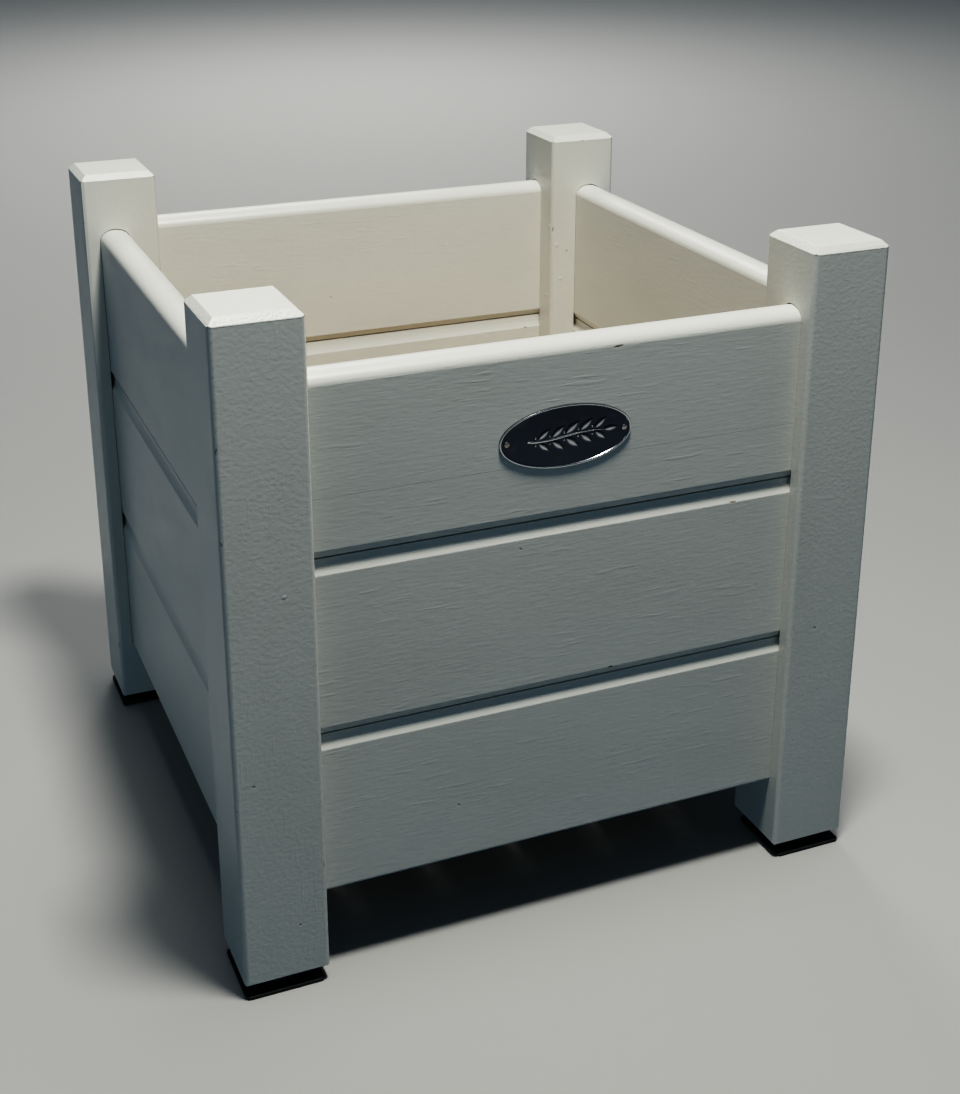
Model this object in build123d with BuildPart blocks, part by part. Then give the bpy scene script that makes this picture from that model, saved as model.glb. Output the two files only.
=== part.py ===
"""Square raised timber planter on four legs, in millimetres.

The frame has +Z up, the front (plaque) face towards -Y, and its origin on the ground
under the middle of the planter. Four square posts stand on round glides and rubber
pads. Three tongued-and-grooved boards make each wall, and their ends sit in stopped
housings cut in the posts, held by steel pins. Two bearers carry a slatted floor.
"""
import os

from build123d import *

os.makedirs("parts", exist_ok=True)

# ---- Driving dimensions -------------------------------------------------------------
OUTER = 553.0             # width and depth over the posts
TOP_Z = 562.0             # top of the posts above the ground

POST = 70.0               # side of a post
POST_EDGE_R = 4.0         # rounding of the upright edges
POST_TOP_CHAMFER = 5.5
POST_FOOT_CHAMFER = 1.0

PAD_SIDE = 65.0           # square rubber pad
PAD_THICK = 3.0
PAD_CORNER_R = 4.0
GLIDE_D = 52.0            # round plastic glide between the pad and the post
GLIDE_THICK = 11.0
GLIDE_EDGE_R = 1.5
FOOT_INSET = 33.0         # foot centre, in from both outer faces of its post

BOARD_THICK = 28.0
BOARD_RECESS = 14.0       # board face behind the post's outer face
BOARD_BOTTOM = 74.0       # underside of the lowest boards
FACE_HEIGHT = 128.5       # flat face of a board
JOINT_HEIGHT = 19.7       # face edge to face edge across a joint
BEVEL_IN = 3.0            # bevel depth at each joint edge
BEVEL_UP = 5.8            # bevel height at each joint edge
CROWN_HEIGHT = 10.0       # rounded top edge of the top board
LOWER_EDGE_R = 3.0        # rounding of the lowest edge
TONGUE_WIDTH = 8.0
TONGUE_HEIGHT = 8.0
TONGUE_PLAY = 0.3         # each side of a tongue in its groove
JOINT_GAP = 1.2           # open line between two boards above the rib

HOUSING_DEPTH = 18.0      # board ends run this far into the posts
HOUSING_PLAY = 0.35       # each side of a board in its housing
HOUSING_CROWN_GAP = 1.0   # clear height over the crown

PIN_D = 3.0               # steel pins through post and board end
PIN_LENGTH = 48.0
PIN_FROM_JOINT = 8.5      # mean pin line, in from the post's inner face
PIN_STAGGER = 2.5         # upper pin nearer the joint, lower pin further from it
PIN_SET_BELOW = 0.5       # pin end below the post's surface
PIN_DROP = 6.0            # middle of a pin pair below the middle of the face
PIN_SPREAD = {"front": 18.5, "back": 18.5, "left": 38.0, "right": 38.0}
HOLE_PLAY = 0.05          # radial play round every pin and screw

BEARER_DEPTH = 28.0       # out from the wall
BEARER_HEIGHT = 34.0
BEARER_BOTTOM = 80.0
BEARER_END_GAP = 1.0
SLAT_COUNT = 6
SLAT_THICK = 18.0
SLAT_GAP = 3.0
SLAT_WALL_GAP = 2.5       # slats to wall, all round
SLAT_POST_GAP = 2.0       # notched slats to posts
EASED_EDGE = 1.5          # chamfer along bearers and slats

SCREW_D = 4.0
SCREW_HEAD_D = 8.0
SCREW_HEAD_HEIGHT = 2.6
SCREW_POINT = 5.0
SCREW_SINK = 0.4          # head below the surface
CROSS_LENGTH = 4.4        # cross recess in the head
CROSS_WIDTH = 0.9
CROSS_DEPTH = 1.4
BEARER_SCREW_LENGTH = 42.0
SLAT_SCREW_LENGTH = 40.0
FOOT_SCREW_LENGTH = 50.0
SLAT_SCREW_SPREAD = 17.0  # from a slat's centre line
NOTCHED_SCREW_SPREAD = 10.0

PLAQUE_WIDTH = 112.0
PLAQUE_HEIGHT = 51.0
PLAQUE_THICK = 1.0
PLAQUE_RIM = 2.0          # rim width
PLAQUE_RIM_HEIGHT = 1.6   # rim over the board
PLAQUE_CENTRE_Z = 432.5
MOTIF_HEIGHT = 0.5        # relief over the plate
LEAF_LENGTH = 15.0
LEAF_WIDTH = 6.0
STEM_LENGTH = 62.0
STEM_WIDTH = 1.6
LEAF_SLANT = 35.0         # leaf angle to the stem, degrees
LEAF_PITCH = 12.0
PLAQUE_PIN_X = 49.8
PLAQUE_PIN_D = 1.8
PLAQUE_PIN_HEAD_D = 4.6
PLAQUE_PIN_HEAD_HEIGHT = 0.9
PLAQUE_PIN_LENGTH = 16.0

# ---- Derived dimensions -------------------------------------------------------------
HALF = OUTER / 2
POST_INNER = HALF - POST                      # post's inner faces from the middle
POST_CENTRE = HALF - POST / 2
FOOT_CENTRE = HALF - FOOT_INSET
POST_BOTTOM = PAD_THICK + GLIDE_THICK
WALL_MID = HALF - BOARD_RECESS - BOARD_THICK / 2
WALL_INNER = WALL_MID - BOARD_THICK / 2
WALL_OUTER = WALL_MID + BOARD_THICK / 2
BOARD_LENGTH = 2 * (POST_INNER + HOUSING_DEPTH)
PITCH = FACE_HEIGHT + JOINT_HEIGHT
SPRING_Z = BOARD_BOTTOM + 2 * PITCH + FACE_HEIGHT
PIN_LINE = POST_INNER + PIN_FROM_JOINT
BEARER_MID = WALL_INNER - BEARER_DEPTH / 2
BEARER_SCREW_Z = BEARER_BOTTOM + BEARER_HEIGHT / 2
SLAT_BOTTOM = BEARER_BOTTOM + BEARER_HEIGHT
SLAT_TOP = SLAT_BOTTOM + SLAT_THICK
FLOOR_WIDTH = 2 * (WALL_INNER - SLAT_WALL_GAP)
SLAT_WIDTH = (FLOOR_WIDTH - (SLAT_COUNT - 1) * SLAT_GAP) / SLAT_COUNT
SLAT_PITCH = SLAT_WIDTH + SLAT_GAP
NOTCH_FROM = POST_INNER - SLAT_POST_GAP       # notch edge from the middle, both ways

CORNERS = {"front_left": (-1, -1), "front_right": (1, -1), "back_left": (-1, 1), "back_right": (1, 1)}
WALLS = {"front": (0, -1), "right": (1, 0), "back": (0, 1), "left": (-1, 0)}
LEVELS = {"bottom": 0, "middle": 1, "top": 2}


def save(builder, name):
    """Label a finished piece and write it as its own STEP file."""
    builder.part.label = name
    export_step(builder.part, f"parts/{name}.step")


# ---- Places -------------------------------------------------------------------------
def run_of(wall):
    """Direction along a wall: its outward normal turned a quarter turn."""
    out_x, out_y = WALLS[wall]
    return Vector(-out_y, out_x, 0)


def wall_plane(wall, along):
    """Plane across a wall: local X points into the planter, local Y up, normal along the wall."""
    run = run_of(wall)
    origin = Vector(*WALLS[wall], 0) * WALL_MID + run * along
    return Plane(origin=origin, x_dir=Vector(0, 0, 1).cross(run), z_dir=run)


def inward_plane(wall, depth, along, height):
    """Plane facing into the planter, at a distance from the middle, for a hole or a fastener."""
    inward = Vector(*WALLS[wall], 0) * -1
    origin = inward * -depth + run_of(wall) * along + Vector(0, 0, height)
    return Plane(origin=origin, x_dir=run_of(wall), z_dir=inward)


def walls_at(corner):
    """The two walls that end in a corner post, each with its end: +1 or -1 along its run."""
    found = []
    for wall, (out_x, out_y) in WALLS.items():
        for end in (-1, 1):
            if (out_x - out_y * end, out_y + out_x * end) == CORNERS[corner]:
                found.append((wall, end))
    return found


def pin_planes(wall, end):
    """Where the pins of one wall enter the post at one of its ends: two into each of three boards."""
    planes = []
    for level in LEVELS.values():
        middle = BOARD_BOTTOM + level * PITCH + FACE_HEIGHT / 2 - PIN_DROP
        for sign in (-1, 1):
            along = end * (PIN_LINE - sign * PIN_STAGGER)
            planes.append(inward_plane(wall, POST_INNER, along, middle + sign * PIN_SPREAD[wall]))
    return planes


def slat_centre(index):
    """Middle of a slat across the planter."""
    return (index - (SLAT_COUNT - 1) / 2) * SLAT_PITCH


def slat_screw_xs(index):
    """Screw places across one slat; the outer slats have less width beside the posts."""
    centre = slat_centre(index)
    if index in (0, SLAT_COUNT - 1):
        side = 1 if index else -1
        middle = side * (abs(centre) - SLAT_WIDTH / 2 + NOTCH_FROM) / 2
        return [middle - NOTCHED_SCREW_SPREAD, middle + NOTCHED_SCREW_SPREAD]
    return [centre - SLAT_SCREW_SPREAD, centre + SLAT_SCREW_SPREAD]


# Screws stand in these gaps between the slats, so that they miss the slats' own screws.
SCREWED_GAPS = (1, 2, 4, 5)
BEARER_SCREW_XS = [(gap - SLAT_COUNT / 2) * SLAT_PITCH for gap in SCREWED_GAPS]
BEARER_SCREW_PLANES = {
    wall: [inward_plane(wall, WALL_INNER - BEARER_DEPTH, x, BEARER_SCREW_Z) for x in BEARER_SCREW_XS]
    for wall in ("front", "back")
}
SLAT_SCREW_PLANES = [
    Plane(origin=(x, side * BEARER_MID, SLAT_TOP))
    for index in range(SLAT_COUNT)
    for x in slat_screw_xs(index)
    for side in (-1, 1)
]
FOOT_SCREW_PLANES = [
    Plane(origin=(sx * FOOT_CENTRE, sy * FOOT_CENTRE, PAD_THICK), x_dir=(1, 0, 0), z_dir=(0, 0, -1))
    for sx, sy in CORNERS.values()
]


# ---- Fasteners ----------------------------------------------------------------------
def add_screws(planes, length):
    """Countersunk screws, one on each plane, with the head just below the plane."""
    head_r = SCREW_HEAD_D / 2
    shank_r = SCREW_D / 2
    for plane in planes:
        side = Plane(origin=plane.origin, x_dir=plane.x_dir, z_dir=plane.y_dir * -1)
        with BuildSketch(side) as outline:
            with BuildLine():
                Polyline(
                    (0, -SCREW_SINK),
                    (head_r, -SCREW_SINK),
                    (shank_r, -SCREW_SINK - SCREW_HEAD_HEIGHT),
                    (shank_r, SCREW_POINT - length),
                    (0, -length),
                    close=True,
                )
            make_face()
        revolve(outline.sketch, axis=Axis(plane.origin, plane.z_dir))
        with BuildSketch(plane.offset(-SCREW_SINK)) as recess:
            Rectangle(CROSS_LENGTH, CROSS_WIDTH)
            Rectangle(CROSS_WIDTH, CROSS_LENGTH)
        extrude(recess.sketch, amount=-CROSS_DEPTH, mode=Mode.SUBTRACT)


def cut_screw_holes(planes, length):
    """Countersunk holes for those screws, with a little play all round."""
    head_r = SCREW_HEAD_D / 2 + HOLE_PLAY
    shank_r = SCREW_D / 2 + HOLE_PLAY
    for plane in planes:
        side = Plane(origin=plane.origin, x_dir=plane.x_dir, z_dir=plane.y_dir * -1)
        with BuildSketch(side) as outline:
            with BuildLine():
                Polyline(
                    (0, 0),
                    (head_r, 0),
                    (head_r, -SCREW_SINK),
                    (shank_r, -SCREW_SINK - SCREW_HEAD_HEIGHT),
                    (shank_r, -length),
                    (0, -length),
                    close=True,
                )
            make_face()
        revolve(outline.sketch, axis=Axis(plane.origin, plane.z_dir), mode=Mode.SUBTRACT)


def cut_round_holes(planes, diameter, depth):
    """Straight round holes, one into each plane."""
    for plane in planes:
        with BuildSketch(plane) as outline:
            Circle(diameter / 2 + HOLE_PLAY)
        extrude(outline.sketch, amount=-depth, mode=Mode.SUBTRACT)


# ---- Posts --------------------------------------------------------------------------
def housing_outline(plane):
    """Outline of a housing: a board's outline with play, under a crowned top."""
    half = BOARD_THICK / 2 + HOUSING_PLAY
    crown = CROWN_HEIGHT + HOUSING_CROWN_GAP
    with BuildSketch(plane) as outline:
        with BuildLine():
            Polyline((-half, SPRING_Z), (-half, BOARD_BOTTOM), (half, BOARD_BOTTOM), (half, SPRING_Z))
            EllipticalCenterArc((0, SPRING_Z), half, crown, arc_size=180)
        make_face()
    return outline.sketch


for corner, (sx, sy) in CORNERS.items():
    post_axis = (sx * POST_CENTRE, sy * POST_CENTRE)
    with BuildPart() as post:
        # A mitred cap, whose corners are then rounded as the upright edges are.
        with BuildSketch(Plane.XY.offset(TOP_Z - POST_TOP_CHAMFER)):
            with Locations(post_axis):
                Rectangle(POST, POST)
        extrude(amount=POST_TOP_CHAMFER, taper=45)
        with BuildSketch(Plane.XY.offset(POST_BOTTOM)):
            with Locations(post_axis):
                RectangleRounded(POST, POST, POST_EDGE_R)
        extrude(amount=TOP_Z - POST_BOTTOM, mode=Mode.INTERSECT)
        with BuildSketch(Plane.XY.offset(POST_BOTTOM)):
            with Locations(post_axis):
                RectangleRounded(POST, POST, POST_EDGE_R)
        extrude(amount=TOP_Z - POST_TOP_CHAMFER - POST_BOTTOM)
        chamfer(post.faces().sort_by(Axis.Z)[0].edges(), POST_FOOT_CHAMFER)
        for wall, end in walls_at(corner):
            housing = housing_outline(wall_plane(wall, end * POST_INNER))
            extrude(housing, amount=end * HOUSING_DEPTH, mode=Mode.SUBTRACT)
            cut_round_holes(pin_planes(wall, end), PIN_D, PIN_LENGTH)
        foot_plane = Plane(origin=(sx * FOOT_CENTRE, sy * FOOT_CENTRE, POST_BOTTOM), z_dir=(0, 0, -1))
        cut_round_holes([foot_plane], SCREW_D, FOOT_SCREW_LENGTH - GLIDE_THICK)
    save(post, f"post_{corner}")

    with BuildPart() as pins:
        for wall, end in walls_at(corner):
            for plane in pin_planes(wall, end):
                with BuildSketch(plane.offset(-PIN_SET_BELOW)):
                    Circle(PIN_D / 2)
                extrude(amount=PIN_SET_BELOW - PIN_LENGTH)
    save(pins, f"pins_{corner}")


# ---- Wall boards --------------------------------------------------------------------
def board_outline(plane, level):
    """Outline of a board at one level, one half mirrored: tongue up, groove down, bevels at each joint."""
    half = BOARD_THICK / 2
    rib = half - BEVEL_IN
    low = BOARD_BOTTOM + LEVELS[level] * PITCH
    high = low + FACE_HEIGHT
    groove = TONGUE_WIDTH / 2 + TONGUE_PLAY
    underside = low - BEVEL_UP
    groove_top = underside + TONGUE_HEIGHT
    rib_top = high + JOINT_HEIGHT - BEVEL_UP - JOINT_GAP
    tongue_top = rib_top + JOINT_GAP + TONGUE_HEIGHT
    with BuildSketch(plane) as outline:
        with BuildLine():
            if level == "bottom":
                Line((0, low), (half - LOWER_EDGE_R, low))
                RadiusArc((half - LOWER_EDGE_R, low), (half, low + LOWER_EDGE_R), -LOWER_EDGE_R)
                Line((half, low + LOWER_EDGE_R), (half, high))
            else:
                Polyline((0, groove_top), (groove, groove_top), (groove, underside),
                         (rib, underside), (half, low), (half, high))
            if level == "top":
                EllipticalCenterArc((0, high), half, CROWN_HEIGHT, arc_size=90)
            else:
                Polyline((half, high), (rib, high + BEVEL_UP), (rib, rib_top),
                         (TONGUE_WIDTH / 2, rib_top), (TONGUE_WIDTH / 2, tongue_top), (0, tongue_top))
            mirror(about=Plane.YZ)
        make_face()
    return outline.sketch


PLAQUE_PIN_PLANES = [
    Plane(origin=(side * PLAQUE_PIN_X, -WALL_OUTER, PLAQUE_CENTRE_Z), x_dir=(1, 0, 0), z_dir=(0, -1, 0))
    for side in (-1, 1)
]

for wall in WALLS:
    for level in LEVELS:
        with BuildPart() as board:
            extrude(board_outline(wall_plane(wall, -BOARD_LENGTH / 2), level), amount=BOARD_LENGTH)
            cut_round_holes(pin_planes(wall, -1) + pin_planes(wall, 1), PIN_D, PIN_LENGTH)
            if level == "bottom" and wall in BEARER_SCREW_PLANES:
                cut_screw_holes(BEARER_SCREW_PLANES[wall], BEARER_SCREW_LENGTH)
            if (wall, level) == ("front", "top"):
                cut_round_holes(PLAQUE_PIN_PLANES, PLAQUE_PIN_D, PLAQUE_PIN_LENGTH - PLAQUE_THICK)
        save(board, f"board_{wall}_{level}")

# ---- Floor --------------------------------------------------------------------------
for wall, screw_planes in BEARER_SCREW_PLANES.items():
    bearer_length = 2 * (POST_INNER - BEARER_END_GAP)
    with BuildPart() as bearer:
        with BuildSketch(wall_plane(wall, -bearer_length / 2)):
            with Locations((WALL_MID - BEARER_MID, BEARER_SCREW_Z)):
                Rectangle(BEARER_DEPTH, BEARER_HEIGHT)
        extrude(amount=bearer_length)
        chamfer(bearer.edges().filter_by(Axis.X), EASED_EDGE)
        cut_screw_holes(screw_planes, BEARER_SCREW_LENGTH)
        cut_screw_holes(SLAT_SCREW_PLANES, SLAT_SCREW_LENGTH)
    save(bearer, f"bearer_{wall}")

for index in range(SLAT_COUNT):
    with BuildPart() as slat:
        with BuildSketch(Plane.XY.offset(SLAT_BOTTOM)):
            with Locations((slat_centre(index), 0)):
                Rectangle(SLAT_WIDTH, FLOOR_WIDTH)
        extrude(amount=SLAT_THICK)
        chamfer(slat.edges().filter_by(Axis.Y), EASED_EDGE)
        # Only the outer slats reach past the posts' inner faces, so only they are notched.
        with BuildSketch(Plane.XY.offset(SLAT_BOTTOM)):
            with GridLocations(2 * POST_CENTRE, 2 * POST_CENTRE, 2, 2):
                Rectangle(POST + 2 * SLAT_POST_GAP, POST + 2 * SLAT_POST_GAP)
        extrude(amount=SLAT_THICK, mode=Mode.SUBTRACT)
        cut_screw_holes(SLAT_SCREW_PLANES, SLAT_SCREW_LENGTH)
    save(slat, f"slat_{index + 1}")

with BuildPart() as bearer_screws:
    for screw_planes in BEARER_SCREW_PLANES.values():
        add_screws(screw_planes, BEARER_SCREW_LENGTH)
save(bearer_screws, "bearer_screws")

with BuildPart() as slat_screws:
    add_screws(SLAT_SCREW_PLANES, SLAT_SCREW_LENGTH)
save(slat_screws, "slat_screws")

# ---- Feet ---------------------------------------------------------------------------
for corner, (sx, sy) in CORNERS.items():
    foot_axis = (sx * FOOT_CENTRE, sy * FOOT_CENTRE)
    with BuildPart() as pad:
        with BuildSketch():
            with Locations(foot_axis):
                RectangleRounded(PAD_SIDE, PAD_SIDE, PAD_CORNER_R)
        extrude(amount=PAD_THICK)
    save(pad, f"foot_pad_{corner}")

    with BuildPart() as glide:
        with BuildSketch(Plane.XY.offset(PAD_THICK)):
            with Locations(foot_axis):
                Circle(GLIDE_D / 2)
        extrude(amount=GLIDE_THICK)
        fillet(glide.edges().group_by(Axis.Z)[0], GLIDE_EDGE_R)
        cut_screw_holes(FOOT_SCREW_PLANES, FOOT_SCREW_LENGTH)
    save(glide, f"foot_glide_{corner}")

with BuildPart() as foot_screws:
    add_screws(FOOT_SCREW_PLANES, FOOT_SCREW_LENGTH)
save(foot_screws, "foot_screws")

# ---- Plaque -------------------------------------------------------------------------
plaque_plane = Plane(origin=(0, -WALL_OUTER, PLAQUE_CENTRE_Z), x_dir=(1, 0, 0), z_dir=(0, -1, 0))
with BuildPart() as plaque:
    with BuildSketch(plaque_plane):
        Ellipse(PLAQUE_WIDTH / 2, PLAQUE_HEIGHT / 2)
    extrude(amount=PLAQUE_THICK)
    with BuildSketch(plaque_plane.offset(PLAQUE_THICK)):
        Ellipse(PLAQUE_WIDTH / 2, PLAQUE_HEIGHT / 2)
        Ellipse(PLAQUE_WIDTH / 2 - PLAQUE_RIM, PLAQUE_HEIGHT / 2 - PLAQUE_RIM, mode=Mode.SUBTRACT)
    extrude(amount=PLAQUE_RIM_HEIGHT - PLAQUE_THICK)
    # A plain leafy sprig in low relief.
    with BuildSketch(plaque_plane.offset(PLAQUE_THICK)):
        SlotOverall(STEM_LENGTH, STEM_WIDTH)
        for step in (-2, -1, 0, 1):
            for side in (-1, 1):
                leaf_x = step * LEAF_PITCH + LEAF_LENGTH / 2
                with Locations(Location((leaf_x, side * LEAF_LENGTH / 3), (0, 0, side * LEAF_SLANT))):
                    Ellipse(LEAF_LENGTH / 2, LEAF_WIDTH / 2)
    extrude(amount=MOTIF_HEIGHT)
    cut_round_holes([plane.offset(PLAQUE_THICK) for plane in PLAQUE_PIN_PLANES], PLAQUE_PIN_D, PLAQUE_THICK)
save(plaque, "oval_plaque")

pin_head_r = PLAQUE_PIN_HEAD_D / 2
dome_r = (pin_head_r ** 2 + PLAQUE_PIN_HEAD_HEIGHT ** 2) / (2 * PLAQUE_PIN_HEAD_HEIGHT)
with BuildPart() as plaque_pins:
    for plane in PLAQUE_PIN_PLANES:
        head_plane = plane.offset(PLAQUE_THICK)
        with BuildSketch(Plane(origin=head_plane.origin, x_dir=(1, 0, 0), z_dir=(0, 0, -1))):
            with BuildLine():
                Polyline(
                    (0, PLAQUE_PIN_HEAD_HEIGHT),
                    (0, -PLAQUE_PIN_LENGTH),
                    (PLAQUE_PIN_D / 2, -PLAQUE_PIN_LENGTH),
                    (PLAQUE_PIN_D / 2, 0),
                    (pin_head_r, 0),
                )
                RadiusArc((pin_head_r, 0), (0, PLAQUE_PIN_HEAD_HEIGHT), -dome_r)
            make_face()
        revolve(axis=Axis(head_plane.origin, (0, -1, 0)))
save(plaque_pins, "plaque_pins")
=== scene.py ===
"""Looks of a raised timber planter: painted posts and boards, slatted floor, feet and oval plaque.

Everything is in metres in the frame's own axes: +Z up, the plaque on the -Y face, and the
origin on the ground under the middle of the planter. Sizes inside classes are millimetres.
"""

import logging
import math
import zlib
from dataclasses import dataclass
from enum import Enum
from typing import Any, Sequence, Union

import bmesh
import bpy
from bmesh.types import BMEdge, BMesh, BMFace, BMVert
from mathutils import Matrix, Vector


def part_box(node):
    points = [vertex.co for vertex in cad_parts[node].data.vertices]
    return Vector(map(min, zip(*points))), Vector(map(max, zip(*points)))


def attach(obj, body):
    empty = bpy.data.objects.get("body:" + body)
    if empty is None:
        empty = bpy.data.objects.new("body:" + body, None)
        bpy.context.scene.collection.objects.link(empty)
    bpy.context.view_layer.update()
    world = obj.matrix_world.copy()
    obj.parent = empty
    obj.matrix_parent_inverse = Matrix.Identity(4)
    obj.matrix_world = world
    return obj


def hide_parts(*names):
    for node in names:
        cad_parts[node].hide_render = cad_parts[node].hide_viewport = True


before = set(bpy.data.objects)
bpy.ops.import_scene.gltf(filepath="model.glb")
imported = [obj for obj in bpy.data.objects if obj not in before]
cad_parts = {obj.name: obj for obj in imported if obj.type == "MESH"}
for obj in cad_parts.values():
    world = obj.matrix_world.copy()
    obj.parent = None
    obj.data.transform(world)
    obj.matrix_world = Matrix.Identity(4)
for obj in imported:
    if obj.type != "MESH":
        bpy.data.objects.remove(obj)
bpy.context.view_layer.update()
LOG = logging.getLogger("planter")
MM = 0.001
BODY = "root"
FAR = 1000.0           # mm: a line that is nowhere on the piece
TOUCH = 0.01           # mm: places closer than this are the same
HAIR = 0.02            # mm: left between two roundings that would meet
SMOOTH_BELOW = 40.0    # degrees: sharper edges stay crisp
PATTERN_STEPS = 977    # how many places along the grain a pattern can start at
PATTERN_STEP = 0.11    # metres between them
COORDS = "timber"      # attribute: place along, across and through a piece of timber, in metres
SEAM = "seam"          # attribute: height over a board's glue line or over a post's cap line, in metres
RELIEF = "relief"      # attribute: height over the plaque's plate, from 0 to 1

Colour = tuple[float, float, float]
Number = Union["Signal", float]


# ---- Names --------------------------------------------------------------------------
def quarter_turns(count: int) -> Matrix:
    """Rotation about Z by a number of quarter turns."""
    return Matrix.Rotation(count * math.pi / 2, 4, "Z")


class Wall(Enum):
    """The four walls, each with the turn that brings the front wall to it, in quarter turns."""

    FRONT = 0
    RIGHT = 1
    BACK = 2
    LEFT = 3

    @property
    def turn(self) -> Matrix:
        """Rotation from the front wall to this one."""
        return quarter_turns(self.value)


class Level(Enum):
    """The three boards of a wall, counted from the ground."""

    BOTTOM = 0
    MIDDLE = 1
    TOP = 2


class Corner(Enum):
    """The four posts, each with the turn that brings the front left one to it, in quarter turns."""

    FRONT_LEFT = 0
    FRONT_RIGHT = 1
    BACK_RIGHT = 2
    BACK_LEFT = 3

    @property
    def turn(self) -> Matrix:
        """Rotation from the front left post to this one."""
        return quarter_turns(self.value)

    @property
    def label(self) -> str:
        """The corner's part of a node's name."""
        return self.name.lower()


class Run(Enum):
    """Which way the grain of a bare piece of timber runs."""

    ALONG_X = 0
    ALONG_Y = 1


# ---- Shader maths -------------------------------------------------------------------
class Signal:
    """A number that varies over a surface: a node's socket that takes Python's operators."""

    def __init__(self, graph: "Graph", socket: bpy.types.NodeSocket) -> None:
        """Wrap a socket.

        Args:
            graph: the material's graph, which makes the Math nodes.
            socket: an output that carries one number.
        """
        self.graph = graph
        self.socket = socket

    def __add__(self, other: Number) -> "Signal":
        """Sum."""
        return self.graph.maths("ADD", self, other)

    __radd__ = __add__

    def __sub__(self, other: Number) -> "Signal":
        """Difference."""
        return self.graph.maths("SUBTRACT", self, other)

    def __rsub__(self, other: Number) -> "Signal":
        """Difference with this on the right."""
        return self.graph.maths("SUBTRACT", other, self)

    def __mul__(self, other: Number) -> "Signal":
        """Product."""
        return self.graph.maths("MULTIPLY", self, other)

    __rmul__ = __mul__

    def __abs__(self) -> "Signal":
        """Size without sign."""
        return self.graph.maths("ABSOLUTE", self)

    def ramp(self, low: float, high: float) -> "Signal":
        """Smooth step from 0 at low to 1 at high.

        Args:
            low: where the step starts.
            high: where the step ends; below low for a falling step.

        Returns:
            The step's value.
        """
        rising = low < high
        ends = (low, high) if rising else (high, low)
        outs = (0.0, 1.0) if rising else (1.0, 0.0)
        inputs = {"Value": self, "From Min": ends[0], "From Max": ends[1],
                  "To Min": outs[0], "To Max": outs[1]}
        node = self.graph.node("ShaderNodeMapRange", {"interpolation_type": "SMOOTHSTEP"}, inputs)
        return Signal(self.graph, node.outputs["Result"])

    def near(self, value: float, width: float) -> "Signal":
        """1 where the signal equals a value, falling to 0 at a distance of width."""
        return abs(self - value).ramp(width, 0.0)


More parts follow.
